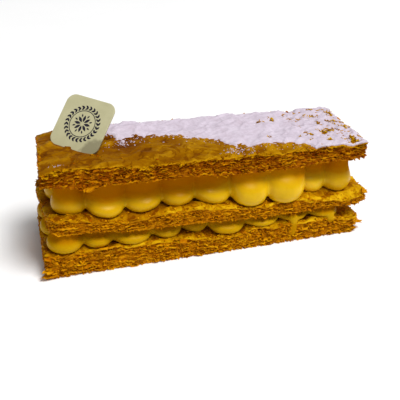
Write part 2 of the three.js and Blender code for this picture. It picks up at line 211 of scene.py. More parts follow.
class Skin:
    """Gathers grids of points, in millimetres, into one mesh. Columns run counter-clockwise seen from above,
    or from the plaque's front, and rows run outwards and away, so faces turn outwards."""

    def __init__(self):
        self.places, self.tones, self.polygons = [], [], []
        self.count = 0

    def points(self, places, tones=0.5):
        places = np.asarray(places, float)
        grid = np.arange(self.count, self.count + places[..., 0].size).reshape(places.shape[:-1])
        self.places.append(places.reshape(-1, 3))
        self.tones.append(np.broadcast_to(np.clip(tones, 0, 1), grid.shape).ravel())
        self.count += grid.size
        return grid

    def faces(self, corners, look=0, smooth=False):
        self.polygons.append((corners.reshape(-1, corners.shape[-1]), look, smooth))

    def wrap(self, grid):
        """Faces between a grid's points, whose last column is next to its first."""
        self.faces(quads(np.hstack([grid, grid[:, :1]])))

    def cap(self, ring, centre, up=True):
        middle = self.points([centre], 0.3)[0]
        ends = (ring, np.roll(ring, -1)) if up else (np.roll(ring, -1), ring)
        self.faces(np.stack([*ends, np.full_like(ring, middle)], axis=-1))

    def body(self, rows, top, foot, tones=0.5):
        """A closed body of rings, with the middles of its two ends."""
        grid = self.points(rows, tones)
        self.wrap(grid)
        self.cap(grid[0], top)
        self.cap(grid[-1], foot, up=False)

    def build(self, name, scale=MM):
        mesh = bpy.data.meshes.new(name)
        places = np.concatenate(self.places) * scale
        mesh.vertices.add(len(places))
        mesh.vertices.foreach_set("co", places.ravel())
        faces, looks, smooth = zip(*self.polygons)
        counts = [len(rows) for rows in faces]
        sizes = np.repeat([rows.shape[1] for rows in faces], counts)
        corners = np.concatenate([rows.ravel() for rows in faces])
        mesh.loops.add(len(corners))
        mesh.loops.foreach_set("vertex_index", corners)
        mesh.polygons.add(len(sizes))
        mesh.polygons.foreach_set("loop_start", np.cumsum(sizes) - sizes)
        mesh.polygons.foreach_set("material_index", np.repeat(looks, counts).astype(np.int32))
        mesh.polygons.foreach_set("use_smooth", np.repeat(smooth, counts))
        return add_piece(name, mesh, np.concatenate(self.tones))


def dress(thing, slot, *materials, replaces=()):
    """Gives a piece its materials, hangs it on the frame's root body, and hides the parts it replaces."""
    for material in materials:
        thing.data.materials.append(material)
    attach(thing, "root")
    if replaces:
        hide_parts(*replaces)


# ---- slab form


def rounded(half_x, half_y, radius, count, first=0):
    """Points round a rectangle with round corners, counter-clockwise from its first corner: 0 is the one
    between +X and +Y."""
    turns = np.linspace(0, math.pi / 2, count)
    corners = []
    for corner in range(first, first + 4):
        angle, diagonal = turns + corner * math.pi / 2, (corner + 0.5) * math.pi / 2
        x = math.copysign(half_x - radius, math.cos(diagonal)) + radius * np.cos(angle)
        y = math.copysign(half_y - radius, math.sin(diagonal)) + radius * np.sin(angle)
        corners.append(np.stack([x, y], -1))
    return np.concatenate(corners)


def set_down(slab, px, py, depth=0):
    """Places in the frame of a slab's own plan points, whose origin is its middle, moved in from its edge by
    a depth, or out where it is negative."""
    px, py = px * (1 - 2 * depth / slab["length"]), py * (1 - 2 * depth / WIDTH)
    lean = slab["skew"] * (py / WIDTH) * (0.5 - px / slab["length"])
    return slab["shift"] + px + lean, py


def level(slab, face, x):
    low, high = slab[face]
    return mix(low, high, (x - slab["shift"]) / slab["length"] + 0.5)


def edge_level(slab, face, x, y):
    """The height of a face, with the stray of its front edge."""
    near_front = ease(-y, WIDTH / 2 - RIM_REACH, WIDTH / 2 - 0.5)
    height = level(slab, face, x) + near_front * curve(slab["rim" if face == "top" else "hem"], x)
    if face == "top":
        from_corner = np.hypot(x - slab["shift"] + slab["length"] / 2, WIDTH / 2 - y)
        height -= slab["sag"] * (1 - ease(from_corner, 0, SAG_REACH))
    return height


def outline(slab, step):
    """Points round a slab's own plan, counter-clockwise from its front right corner."""
    points = rounded(slab["length"] / 2, WIDTH / 2, slab["corner"], 6, first=-1)
    path = np.concatenate([points, points[:1]])
    along = np.concatenate([[0], np.cumsum(np.linalg.norm(np.diff(path, axis=0), axis=1))])
    at = np.linspace(0, along[-1], round(along[-1] / step), endpoint=False)
    return np.interp(at, along, path[:, 0]), np.interp(at, along, path[:, 1])


def grain(x, y):
    """A coordinate that runs round the slab's edge without a seam."""
    return x - 0.9 * y


# Places where blisters burst through the sugar: x, y, how far each reaches along X and Y, and its flakes.
CRAGS = [(52.8, 16.5, 1.8, 0.9, 12), (48.6, 10.4, 1.7, 2, 30), (52.2, 9.2, 2.2, 2, 26),
         (59.6, 10.9, 1.7, 2.6, 42), (57.4, 3.2, 2.4, 2.4, 26), (32.1, 9.5, 1.2, 2.2, 22),
         (26.2, 7.1, 2.6, 0.7, 10), (50.5, 2.4, 0.9, 0.8, 8), (46.9, -6, 0.9, 1.8, 20),
         (51.2, -5.5, 2.8, 1.8, 56), (55.2, -6.5, 0.9, 1.1, 14), (59.9, -3.7, 2, 2.4, 36),
         (41.8, -8, 1.7, 0.8, 20), (36.3, -9.6, 0.7, 0.8, 7), (24.3, -7.6, 1, 1.1, 9),
         (47.4, -14.6, 2.1, 0.9, 16), (53.5, -14.2, 1.1, 1, 16), (57.8, -13.9, 1.6, 1.8, 26),
         (57.4, -17.2, 2.2, 1.4, 26), (40.5, -12.6, 0.9, 0.7, 7)]


def crag(x, y):
    """Blisters that burst through the sugar: 0 to about 1."""
    mask = 0
    for centre_x, centre_y, reach_x, reach_y, _ in CRAGS:
        mask = np.maximum(mask, np.exp(-((x - centre_x) / reach_x) ** 4 - ((y - centre_y) / reach_y) ** 4))
    bend = 1.3 * noise(x / 4, y / 4, 91)
    lumps = ease(noise(x / 1.2 + bend, y / 1.1, 92), -0.2, 0.6)
    fine = ease(noise(x / 0.8, y / 0.7 + bend, 93), 0, 0.8)
    return mask * (0.75 * lumps + 0.35 * fine)


def crust_relief(slab, x, y):
    """The fine form of a crust: folds, blisters and the steps where a leaf has broken away."""
    seed = slab["seed"]
    along, across = 0.87 * x + 0.5 * y, 0.87 * y - 0.5 * x
    bend = 2.5 * noise(x / 9, y / 8, seed + 60)
    fold = 1 - np.abs(noise((along + bend) / 8, (across - bend) / 3.6, seed + 61))
    step = ease(noise((along - bend) / 7, (across + bend) / 4.2, seed + 62), 0.02, 0.1)
    pimple = noise(x / 1.7, y / 1.5, seed + 63)
    relief = 0.36 * ease(fold, 0.55, 1) + 0.3 * step + 0.1 * pimple
    if slab is SLABS["top"]:
        lumps = 0.45 * (0.7 * noise(x / 13, y / 11, 51) + 0.5 * noise(x / 5.5 + 40, y / 5, 52))
        dent = np.exp(-((x - 43.5) / 3.5) ** 2 - ((y - 18.5) / 5) ** 2)
        relief += lumps + 0.7 * crag(x, y) - 1.1 * dent
    else:
        relief += 0.35 * noise(x / 4, y / 4, seed + 64) + 0.28 * noise(x / 1.3, y / 1.1, seed + 65)
    return relief, fold, step


def crust_height(slab, x, y):
    """The crust's surface away from its rim."""
    return edge_level(slab, "top", x, y) - CRUST_SINK + crust_relief(slab, x, y)[0]


# ---- pastry

# The crust's look is the second of its slab's materials.
CRUST_LOOK = 1
LEAF_STEP = 0.4
# How far apart the wall's points are along it and down it.
WALL_STEPS = (0.45, 0.42)
# The wall's cap starts this far in, and is sunk this far below the wall's edge.
CAP_INSET, CAP_SUNK = 4, 1.2
# How far below the line of their slab's top the leaves, the wall and the shards end.
LEAF_DROP, WALL_DROP, SHARD_DROP = 0.7, 0.6, 0.45
# A leaf from inside the slab, over its top and back under it: how deep in each row lies, how high, as a share
# of the leaf's thickness, its tone, which is painted shade deep inside and painted light over the rim, and
# how far below the line of the slab's top it stays.
LEAF_ROWS = [(2.6, 0.5, 0.3, 0.8), (0.8, 0.45, 0.55, 0.4), (0, 0.25, 0.95, 0.4), (0, -0.3, 0.75, 0.4),
             (2.2, -0.5, 0.2, 0.8)]
# A crust's underside from its lip inwards: how deep in each row lies, how far it drops, and its tone,
# deeper inwards as painted shade under the crust.
CRUST_ROWS = [(0.05, 0.35, 0.8), (0.45, 0.6, 0.5), (1.5, 0.7, 0.2), (4, 0.8, 0.05)]
CRUST_CAP_DROP = 1.2


def leaf_ring(skin, slab, number):
    """One leaf of pastry all round the slab, crinkled, ragged and torn away in places."""
    seed, key = slab["seed"], number * 5.3
    px, py = outline(slab, LEAF_STEP)
    a = grain(px, py)
    x, y = set_down(slab, px, py)
    low, high = edge_level(slab, "underside", x, y), edge_level(slab, "top", x, y) - LEAF_DROP
    pitch = (high - low) / slab["leaves"]
    crinkle = slab["crinkle"] * (0.9 * noise(a / 7, number * 0.45, seed + 1)
                                 + 0.8 * noise(a / 2.2, key, seed + 2) + 0.5 * noise(a, key, seed + 3))
    torn = ease(noise(a / 2.9, key + 2, seed + 7), slab["torn"], slab["torn"] + 0.25)
    ragged = (0.5 * noise(a / 7, key, seed + 4) + 0.5 * noise(a / 1.9, key, seed + 5)
              + 0.35 * noise(a / 0.85, key, seed + 6))
    reach = slab["ragged"] * ragged - torn
    thick = pitch * (0.36 + 0.16 * noise(a / 3, key, seed + 9))
    rows, tones = [], []
    for depth, side, tone, drop in LEAF_ROWS:
        near = math.exp(-depth / 2.2)
        rx, ry = set_down(slab, px, py, depth - reach)
        z = low + pitch * (number + 0.5 + near * crinkle) + side * thick
        z = np.clip(z, low + FOOT_GAP, edge_level(slab, "top", rx, ry) - drop)
        rows.append(threes(rx, ry, z))
        # Torn back places get a deeper tone: painted shade.
        tones.append(tone + 0.3 * noise(a / 1.8, key + depth, seed + 10) - 0.3 * torn)
    grid = skin.points(rows, tones)
    skin.wrap(np.vstack([grid, grid[:1]]))


def wall(skin, slab):
    """The crumbly wall behind the leaves' rims, which closes the slab."""
    seed = slab["seed"] + 20
    along, down = WALL_STEPS
    px, py = outline(slab, along)
    a = grain(px, py)
    x, y = set_down(slab, px, py)
    low, high = edge_level(slab, "underside", x, y) + FOOT_GAP, edge_level(slab, "top", x, y) - WALL_DROP
    ix, iy = set_down(slab, px, py, CAP_INSET)
    rows = [threes(ix, iy, edge_level(slab, "top", ix, iy) - WALL_DROP - CAP_SUNK)]
    tones = [np.full(len(a), 0.2)]
    for share in np.linspace(1, 0, round(np.mean(high - low) / down)):
        z = mix(low, high, share)
        bumps = 0.4 * noise(a / 0.95, z / 0.6, seed) + 0.4 * noise(a / 2.8, z / 0.9, seed + 1)
        rx, ry = set_down(slab, px, py, 0.6 - bumps)
        rows.append(threes(rx, ry, z))
        # Paler where the wall bulges out and deeper where it sinks in: painted light and shade.
        tones.append(0.42 + 0.5 * bumps)
    skin.body(rows, *((slab["shift"], 0, np.mean(face)) for face in (high - CAP_SUNK, low)), tones)


def round_corners(px, py, half_x, half_y, radius):
    """Bends the corners of a grid over a rectangle to arcs."""
    cx, cy = np.sign(px) * (half_x - radius), np.sign(py) * (half_y - radius)
    dx, dy = px - cx, py - cy
    inside = (dx * np.sign(px) > 0) & (dy * np.sign(py) > 0)
    squeeze = np.where(inside, np.maximum(np.abs(dx), np.abs(dy)) / (np.hypot(dx, dy) + 1e-9), 1)
    return cx + dx * squeeze, cy + dy * squeeze


def crust_tone(slab, x, y, rim, relief, fold, step):
    """How pale a crust is. rim is how far in from its edge a place is."""
    seed = slab["seed"] + 30
    # Paler where the crust stands higher, on folds, steps and blisters, and deeper in its hollows: painted
    # light and shade.
    tone = 0.42 + 0.2 * (fold - 0.6) + 0.1 * step + 0.16 * noise(x / 8, y / 5, seed + 6) + 0.12 * relief
    if slab is SLABS["top"]:
        # Painted shadow of the plaque behind it, paler to the right and in the thin sugar, and a painted
        # highlight on the rim.
        tone += 0.1 * ease(x, -15, -5) + 0.1 * ease(x, 15, 40) - 0.15 * np.exp(-((x + 28) / 13) ** 2)
        tone += 0.25 * ease(y, -10, 0) * ease(x, 33, 44) + 0.38 * np.exp(-rim / 0.5)
        tone += 0.06 * noise(x / 2.6, y / 1.7, seed + 7)
    else:
        # Painted shade under the custard and to the left, and painted light to the right and on the rim.
        tone += 0.15 * np.exp(-rim / 0.5) - 0.2 * ease(rim, 0.8, 4) - 0.08
        tone += 0.17 * ease(x, 12, 40) - 0.15 * ease(-x, -10, 40)
        tone += 0.12 * noise(x / 2.6, y / 1.7, seed + 7) + 0.2 * noise(x / 0.9, y / 0.8, seed + 8)
    return tone


def crust_lip(skin, slab, top):
    """The lip round a crust's top, and its plain underside."""
    border = np.concatenate([top[-1, :-1], top[:0:-1, -1], top[0, :0:-1], top[:-1, 0]])
    places = np.concatenate(skin.places)[border]
    middle, reach = (slab["shift"], 0), np.array([slab["length"], WIDTH]) / 2
    depth, drop, tone = np.array(CRUST_ROWS).T[..., None, None]
    flat = (places[:, :2] - middle) * (1 - depth / reach) + middle
    under = skin.points(np.concatenate([flat, places[:, 2:] - drop], axis=-1), tone[..., 0])
    skin.wrap(np.vstack([border[None], under]))
    skin.cap(under[-1], (*middle, np.mean(places[:, 2]) - CRUST_CAP_DROP), up=False)


def crust(skin, slab, step):
    """The browned top leaf: a fine grid on top, a ragged lip, and a plain underside."""
    seed = slab["seed"] + 30
    half_x, half_y = slab["length"] / 2, WIDTH / 2
    px, py = np.meshgrid(np.linspace(-half_x, half_x, round(2 * half_x / step)),
                         np.linspace(half_y, -half_y, round(2 * half_y / (step * 1.15))))
    px, py = round_corners(px, py, half_x, half_y, slab["corner"])
    to_end, to_side = half_x - np.abs(px), half_y - np.abs(py)
    rim = np.minimum(to_end, to_side)
    a = grain(px, py)
    chip = ease(noise(a / 6, 3.5, seed + 3), 0.35, 0.6)
    ragged = (0.35 * noise(a / 7, 0.5, seed) + 0.35 * noise(a / 2, 1.5, seed + 1)
              + 0.2 * noise(a / 0.9, 2.5, seed + 2) + 0.15 - 0.8 * chip)
    ragged *= slab["ragged"] / SLABS["top"]["ragged"]
    px += np.sign(px) * ragged * np.exp(-to_end / 1.1)
    py += np.sign(py) * ragged * np.exp(-to_side / 1.1)
    x, y = set_down(slab, px, py)
    relief = crust_relief(slab, x, y)
    droop = np.exp(-rim / 0.9) * (0.55 + 0.35 * noise(a / 5, 9.5, seed + 4)
                                  + 0.3 * noise(a / 1.6, 6.5, seed + 5))
    z = edge_level(slab, "top", x, y) - CRUST_SINK + relief[0] - droop
    top = skin.points(threes(x, y, z), crust_tone(slab, x, y, rim, *relief))
    skin.faces(quads(top), CRUST_LOOK, smooth=True)
    crust_lip(skin, slab, top)


# ---- shards and crumbs


def unit(rows):
    return rows / np.linalg.norm(rows, axis=1, keepdims=True)


def shard_faces(skin, grid):
    """Closes shards: the two faces of each, and the edge between them."""
    corners = [grid[:, :, :-1, :-1], grid[:, :, :-1, 1:], grid[:, :, 1:, 1:], grid[:, :, 1:, :-1]]
    for side, order in ((0, corners), (1, corners[::-1])):
        skin.faces(np.stack([corner[:, side] for corner in order], -1))
    rim = np.concatenate([grid[:, :, 0, :-1], grid[:, :, :-1, -1], grid[:, :, -1, :0:-1],
                          grid[:, :, :0:-1, 0]], axis=2)
    ahead = np.roll(rim, -1, axis=2)
    skin.faces(np.stack([rim[:, 1], ahead[:, 1], ahead[:, 0], rim[:, 0]], -1))


def shards(skin, roots, along, out, sizes, curls, tones, rng, steps=(3, 2)):
    """Thin torn shards: roots (N, 3), directions along their width and out of the slab, sizes of (width,
    reach, thickness), how far each curls up, and how many points each has along and out."""
    along, out = unit(along), unit(out)
    along = np.where(np.cross(along, out)[:, 2:] < 0, -along, along)
    up = np.cross(along, out)
    count, (across, deep) = len(roots), steps
    u = np.linspace(-0.5, 0.5, across)[None, None]
    v = np.linspace(0, 1, deep)[None, :, None]
    width, reach, thickness = (sizes[:, k, None, None] for k in range(3))
    taper = rng.uniform(0.1, 0.85, (count, 1, 1))
    lean = rng.uniform(-0.45, 0.45, (count, 1, 1))
    sideways = width * (u * (1 - taper * v) + lean * v)
    forward = reach * v * (1 + 0.6 * (rng.random((count, 1, across)) - 0.5) * v)
    lift = curls[:, None, None] * reach * v ** 2 + 0.16 * width * (rng.random((count, deep, across)) - 0.5)
    middle = roots[:, None, None] + sideways[..., None] * along[:, None, None]
    middle += forward[..., None] * out[:, None, None]
    half = thickness / 2 * (1 - 0.6 * v)
    places = np.stack([middle + (lift + side * half)[..., None] * up[:, None, None] for side in (1, -1)], 1)
    places[..., 2] = np.maximum(places[..., 2], FOOT_GAP)
    # Each shard is darker towards its root and on its underside: painted shade.
    shade = tones[:, None, None, None] * (0.65 + 0.35 * v[:, None]) * np.reshape([1, 0.8], (2, 1, 1))
    shard_faces(skin, skin.points(places, shade))


def wall_shards(skin, slab):
    """Small shards that stick out all over the slab's cut sides."""
    rng, count = np.random.default_rng(slab["seed"]), slab["shards"]
    px, py = outline(slab, 0.1)
    k = rng.integers(len(px), size=count)
    ahead = unit(np.stack([np.roll(px, -1) - px, np.roll(py, -1) - py], -1)[k])
    outward = np.stack([ahead[:, 1], -ahead[:, 0]], -1)
    x, y = set_down(slab, px[k], py[k])
    low, high = edge_level(slab, "underside", x, y) + 0.2, edge_level(slab, "top", x, y) - SHARD_DROP
    width = 0.7 + 2.6 * rng.random(count) ** 2
    reach = 0.8 + 0.5 * rng.random(count)
    proud = 0.7 * slab["ragged"] * (rng.random(count) - 0.25)
    roots = threes(x, y, mix(low, high, rng.random(count)))
    roots[:, :2] += outward * (proud - reach)[:, None]
    slope = rng.choice([-0.4, 0.4], count) * rng.random(count) + rng.normal(0, 0.12, count)
    along = np.column_stack([ahead, slope])
    out = np.column_stack([outward, rng.normal(-0.05, 0.5, count)])
    sizes = threes(width, reach, 0.14 + 0.2 * rng.random(count))
    shards(skin, roots, along, out, sizes, rng.uniform(-0.4, 0.4, count), rng.uniform(0.42, 0.95, count), rng)


def flake_piece(name, material, *flakes):
    """Shards as a piece of their own."""
    skin = Skin()
    shards(skin, *flakes)
    dress(skin.build(name), "pastry", material)


def crag_flakes(material):
    """Golden flakes that stand up out of the sugar where blisters burst through it."""
    rng, slab = np.random.default_rng(21), SLABS["top"]
    x, y = (np.concatenate([rng.normal(row[axis], 0.55 * row[2 + axis], row[4]) for row in CRAGS])
            for axis in (0, 1))
    kept = (np.abs(y) < WIDTH / 2 - SUGAR_BORDER) & (x < 62)
    x, y = x[kept], y[kept]
    count = len(x)
    turn = rng.uniform(0, 2 * math.pi, count)
    along = threes(np.cos(turn), np.sin(turn), rng.normal(0, 0.4, count))
    out = threes(-np.sin(turn), np.cos(turn), rng.uniform(-0.1, 0.9, count))
    sizes = threes(0.35 + 0.9 * rng.random(count) ** 1.6, 0.3 + 0.5 * rng.random(count),
                   0.14 + 0.15 * rng.random(count))
    roots = threes(x, y, crust_height(slab, x, y) + rng.uniform(0, 0.5, count))
    curls, tones = rng.uniform(-0.5, 0.5, count), rng.uniform(0.3, 1.1, count)
    flake_piece("crag_flakes", material, roots, along, out, sizes, curls, tones, rng)


def slab_piece(name, node, step, materials):
    slab, skin = SLABS[name], Skin()
    crust(skin, slab, step)
    start = len(skin.tones)
    for number in range(slab["leaves"]):
        leaf_ring(skin, slab, number)
    wall(skin, slab)
    wall_shards(skin, slab)
    skin.tones[start:] = [np.clip(mix(tone, 0.6, slab["even"]) - slab["browned"], 0, 1)
                          for tone in skin.tones[start:]]
    dress(skin.build(name + "_slab"), "pastry", *materials, replaces=[node])


def rim_flakes(material):
    """Small flakes that lift along the front edge of the top crust."""
    rng, slab, count = np.random.default_rng(31), SLABS["top"], 150
    along_rim = rng.uniform(-0.49, 0.49, count) * slab["length"]
    x, y = set_down(slab, along_rim, 0.8 - WIDTH / 2)
    roots = threes(x, y, edge_level(slab, "top", x, y) - rng.uniform(0.3, 0.9, count))
    along = threes(1, 0, rng.normal(0, 0.12, count))
    out = threes(rng.normal(0, 0.3, count), -1, rng.uniform(-0.5, 0.15, count))
    sizes = threes(1.2 + 3 * rng.random(count) ** 2, 0.9 + 0.9 * rng.random(count),
                   0.2 + 0.15 * rng.random(count))
    curls, tones = rng.uniform(-0.2, 0.3, count), rng.uniform(0.15, 0.5, count)
    flake_piece("rim_flakes", material, roots, along, out, sizes, curls, tones, rng, (5, 3))


def torn_flakes(material):
    """The largest torn flakes: where each is rooted, its directions along and out, and its width, reach,
    thickness, curl and tone."""
    flakes = np.array([
        (-46.5, -17.7, 37.4, 1, 0, 0.1, 0, -0.75, -0.5, 10.5, 1.7, 0.45, 0.1, 0.62),
        (-46.6, -18.2, 10.3, 1, 0, 0.02, 0, -1, 0.3, 6.2, 2, 0.45, 0.1, 0.9),
        (-41.4, -18.2, 10.4, 1, 0, 0.04, 0, -1, 0.35, 7, 2, 0.35, 0.2, 1),
        (-13.6, -18, 8.9, 1, 0, 0, 0, -1, -0.5, 3, 1.7, 0.6, 0, 0.5),
        (62.5, -14.5, 3.3, 0, 1, 0, 1, -0.1, 0.12, 4.5, 4.4, 0.5, -0.1, 0.7),
        (-65.5, -17.5, 3.4, 0.4, -1, 0, -1, -0.5, 0.1, 4, 3.2, 0.4, 0.1, 0.8),
        (-65, -17.8, 1.4, 1, -0.6, 0, -0.8, -0.9, -0.05, 5, 3, 0.4, 0.1, 0.7),
        (-46, -8.2, 44.3, 1, 0.4, 0, 0.1, -0.6, 0.8, 1.6, 1.6, 0.3, 0.3, 0.9),
        (-44.4, -9.4, 44.2, 1, -0.6, 0, 0.4, -0.8, 0.6, 1.8, 1.8, 0.3, 0.3, 0.8),
        (64.6, -16.5, 19.2, 0.6, 1, 0, 0.9, -0.4, -0.15, 4.5, 2, 0.6, 0.1, 0.8),
    ])
    roots, along, out, sizes = (flakes[:, k:k + 3] for k in (0, 3, 6, 9))
    flake_piece("torn_flakes", material, roots, along, out, sizes, flakes[:, 12], flakes[:, 13],
                np.random.default_rng(4), (5, 3))


def scatter(name, slot, material, seed, placed, least, spread):
    """Small lumps knocked out of shape, one piece for the kind. least and spread are for their radii."""
    rng, skin = np.random.default_rng(seed), Skin()
    places, tones = placed(rng)
    count = len(places)
    sizes = least + spread * rng.random(count) ** 2
    form = bmesh.new()
    bmesh.ops.create_icosphere(form, subdivisions=1, radius=1)
    corners = np.array([vertex.co for vertex in form.verts])
    triangles = np.array([[vertex.index for vertex in face.verts] for face in form.faces])
    form.free()
    squash = rng.uniform(0.5, 1.3, (count, 1, 3)) * rng.uniform(0.6, 1.3, (count, len(corners), 1))
    squash[..., 2] *= 0.6
    grid = skin.points(places[:, None] + corners * squash * sizes[:, None, None], tones[:, None])
    skin.faces(grid[:, triangles])
    dress(skin.build(name), slot, material)


def crumb_places(rng):
    """Crumbs along the slabs' ledges and the front of the crust."""
    places, tones = [], []
    for name, count, deep, tone in (("bottom", 230, 5, 0.55), ("middle", 230, 5, 0.55), ("top", 26, 9, 0.15)):
        slab = SLABS[name]
        x = slab["shift"] + slab["length"] * rng.uniform(-0.49, 0.49, count)
        y = -WIDTH / 2 + 0.4 + deep * rng.random(count) ** 1.6
        places.append(threes(x, y, crust_height(slab, x, y) + CRUMB_LIFT))
        tones.append(rng.uniform(tone - 0.25, tone + 0.35, count))
    return np.concatenate(places), np.concatenate(tones)


def speck_places(rng):
    """Specks of sugar past the sheet's front edge, and in thin patches."""
    slab = SLABS["top"]
    x = rng.uniform(-40, 44, 170)
    y = curve(SUGAR_EDGE, x) - rng.exponential(1.3, len(x))
    for centre_x, centre_y, reach_x, reach_y, count in SPECK_PATCHES:
        x = np.append(x, rng.normal(centre_x, reach_x, count))
        y = np.append(y, rng.normal(centre_y, reach_y, count))
    kept = np.abs(y) < WIDTH / 2 - SUGAR_BORDER
    x, y = x[kept], y[kept]
    return threes(x, y, crust_height(slab, x, y) + CRUMB_LIFT), np.full(len(x), 0.5)


# ---- custard


def dot_body(skin, custard, x, radius, front, back, lobe_share):
    """A dot pressed between two slabs, drawn out from its centre at the front to its centre at the back."""
    angle = np.linspace(-math.pi, math.pi, 40, endpoint=False)
    cx, cy = np.cos(angle), np.sin(angle)
    shift = np.where(cy < 0, front, back)
    below, above = SLABS[custard["below"]], SLABS[custard["above"]]
    rows = []
    for across, deep, whole, lobe, neck in DOT_PROFILE[::-1]:
        share_x, share_y = (whole, whole) if front == back else (across, deep)
        height = lobe * lobe_share + neck * (1 - lobe_share)
        dx = x + radius * share_x * cx
        dy = shift + DOT_DEPTH / 2 * share_y * cy
        floor = edge_level(below, "top", dx, dy) - DOT_SINK
        ceiling = edge_level(above, "underside", dx, dy) + DOT_SINK
        rows.append(threes(dx, dy, mix(floor, ceiling, height)))
    skin.body(rows, *((x, (front + back) / 2, row[:, 2].mean()) for row in (rows[0], rows[-1])))


def blob(skin, centre, radii):
    """An egg-shaped body, as a mesh."""
    turn = np.linspace(0, 2 * math.pi, 16, endpoint=False)
    rise = np.linspace(0.93, -0.93, 9)[:, None]
    reach = np.sqrt(1 - rise ** 2)
    rows = centre + threes(reach * np.cos(turn), reach * np.sin(turn), rise) * radii
    skin.body(rows, *((*centre[:2], centre[2] + side * radii[2]) for side in (1, -1)))


def smears(skin):
    """The smears of custard down the front of the bottom slab."""
    for x, top, foot, width in SMEARS:
        for height in np.arange(foot, top, SMEAR_STEP):
            share = (height - foot) / (top - foot)
            depth = -18.2 + 1.2 * share ** 2
            blob(skin, (x + 0.25 * math.sin(height), depth, height), (width * (1 - 0.2 * share), 0.9, 1.4))


def remeshed(thing):
    """The union of a thing's overlapping bodies, with its creases softened."""
    remesh = thing.modifiers.new("join", "REMESH")
    remesh.mode = "VOXEL"
    remesh.voxel_size = CUSTARD_GRAIN
    remesh.adaptivity = 0
    soften = thing.modifiers.new("soften", "SMOOTH")
    soften.factor = 0.5
    soften.iterations = 6
    graph = bpy.context.evaluated_depsgraph_get()
    mesh = bpy.data.meshes.new_from_object(thing.evaluated_get(graph))
    bpy.data.objects.remove(thing)
    return mesh


def custard_bodies(skin, custard):
    """The dots of a layer: three round ones at each end, and columns drawn from front to back between."""
    edge = WIDTH / 2 - DOT_DEPTH / 2
    left, last = custard["left_end"], len(custard["widths"]) - 1
    dots = zip(*(custard[key] for key in ("widths", "setbacks", "lobes", "swells")))
    for k, (width, setback, lobe, swell) in enumerate(dots):
        x, radius = left + width / 2, width / 2 * swell
        left += width
        front, back = setback - edge, edge - (1.6 * float(noise(k * 1.7, 0.5, custard["seed"])) - 0.7)
        if k in (0, last):
            behind = x - LEFT_STEP if k == 0 else x
            for place, y in ((x, front), (behind, (front + back) / 2), (behind, back)):
                dot_body(skin, custard, place, radius, y, y, lobe)
        else:
            dot_body(skin, custard, x, radius, front, back, lobe)


def custard_piece(name, node, material, extra=None):
    custard, skin = CUSTARDS[name], Skin()
    custard_bodies(skin, custard)
    if extra:
        extra(skin)
    mesh = remeshed(skin.build(name + "_custard_form", scale=1))
    places = np.empty(len(mesh.vertices) * 3)
    mesh.vertices.foreach_get("co", places)
    places = places.reshape(-1, 3)
    x, y, z = places.T
    floor, ceiling = level(SLABS[custard["below"]], "top", x), level(SLABS[custard["above"]], "underside", x)
    middles = custard["left_end"] + np.cumsum(custard["widths"]) - np.array(custard["widths"]) / 2
    # The colour deepens above each lobe, on the necks that stand back under the slab above, as painted shade;
    # each dot's shade deepens it further as painted shade, or pales it as painted light.
    lobe, shade = (np.interp(x, middles, custard[key]) for key in ("lobes", "shades"))
    on_lobe, on_neck = custard["tones"]
    tones = mix(on_lobe + shade, on_neck, ease((z - floor) / (ceiling - floor) / lobe, 0.55, 1.7))
    tones += 0.2 * ease(floor - z, 0, 1)
    places[:, 1] += np.sign(y) * 0.12 * noise(x / 4, y / 4 + z / 5, custard["seed"] + 70)
    mesh.vertices.foreach_set("co", (places * MM).ravel())
    mesh.polygons.foreach_set("use_smooth", np.ones(len(mesh.polygons), bool))
    dress(add_piece(name + "_custard", mesh, tones), "custard", material, replaces=[node])


# ---- icing sugar

SUGAR_STEP = 0.4
SUGAR_DEPTH = 0.62


def crispness(x):
    """0 at the left, where the sugar's edge is feathered, to 1 where it is crisp."""
    return ease(x, 10, 18)


def sugar_cover(x, y):
    """How far a place is inside the sugar's edge, ragged."""
    feather = mix(1, 0.4, crispness(x))
    inside = y - curve(SUGAR_EDGE, x)
    inside += feather * (0.8 * noise(x / 2.4, y / 2, 71) + 0.9 * noise(x / 0.9, y / 0.8, 72))
    slab = SLABS["top"]
    right = slab["shift"] + slab["length"] / 2
    border = np.minimum(WIDTH / 2 + 0.3 - np.abs(y), right - 0.6 - x)
    border += 0.35 * noise(x / 1.6, y / 1.6, 73)
    return np.minimum(np.minimum(inside, border * 2), (x - SUGAR_LEFT) * 0.8)


def sugar_depth(x, y):
    """The thickness of the sugar, below 0 where the crust is bare."""
    cover, crisp = sugar_cover(x, y), crispness(x)
    depth = SUGAR_DEPTH * ease(cover, 0, mix(2.4, 1.1, crisp)) - 0.12
    depth += mix(0.3, 0.12, crisp) * noise(x / 0.85, y / 0.8, 77) * np.exp(-(cover / 1.5) ** 2)
    depth += 0.2 * noise(x / 3.2, y / 2.6, 74) * ease(cover, 0.5, 2.5)
    depth += 0.07 * noise(x / 0.8, y / 0.8, 75) + 0.12 * noise(x / 1.6, y / 1.4, 76)
    gaps = noise(x / 1.2 + y / 2, y / 0.8 - x / 3, 94) + 0.6 * noise(x / 5, y / 4, 95)
    thin = ease(x, 33, 44) * ease(gaps, 0.3, 0.62)
    return depth - 1.1 * ease(crag(x, y), 0.36, 0.56) - 0.85 * thin


def stitch(skin, upper, lower, cells):
    """Closes a sheet over chosen cells of a grid: both faces, and a wall where a cell has no neighbour."""
    over, under, padded = quads(upper), quads(lower), np.pad(cells, 1)
    skin.faces(over[cells], smooth=True)
    skin.faces(under[cells][:, ::-1])
    for side, (down, across) in enumerate(((0, -1), (1, 0), (0, 1), (-1, 0))):
        bare = cells & ~np.roll(padded, (-down, -across), (0, 1))[1:-1, 1:-1]
        (a, b), (c, d) = (corners[bare][:, [side, (side + 1) % 4]].T for corners in (over, under))
        skin.faces(np.stack([a, c, d, b], -1))


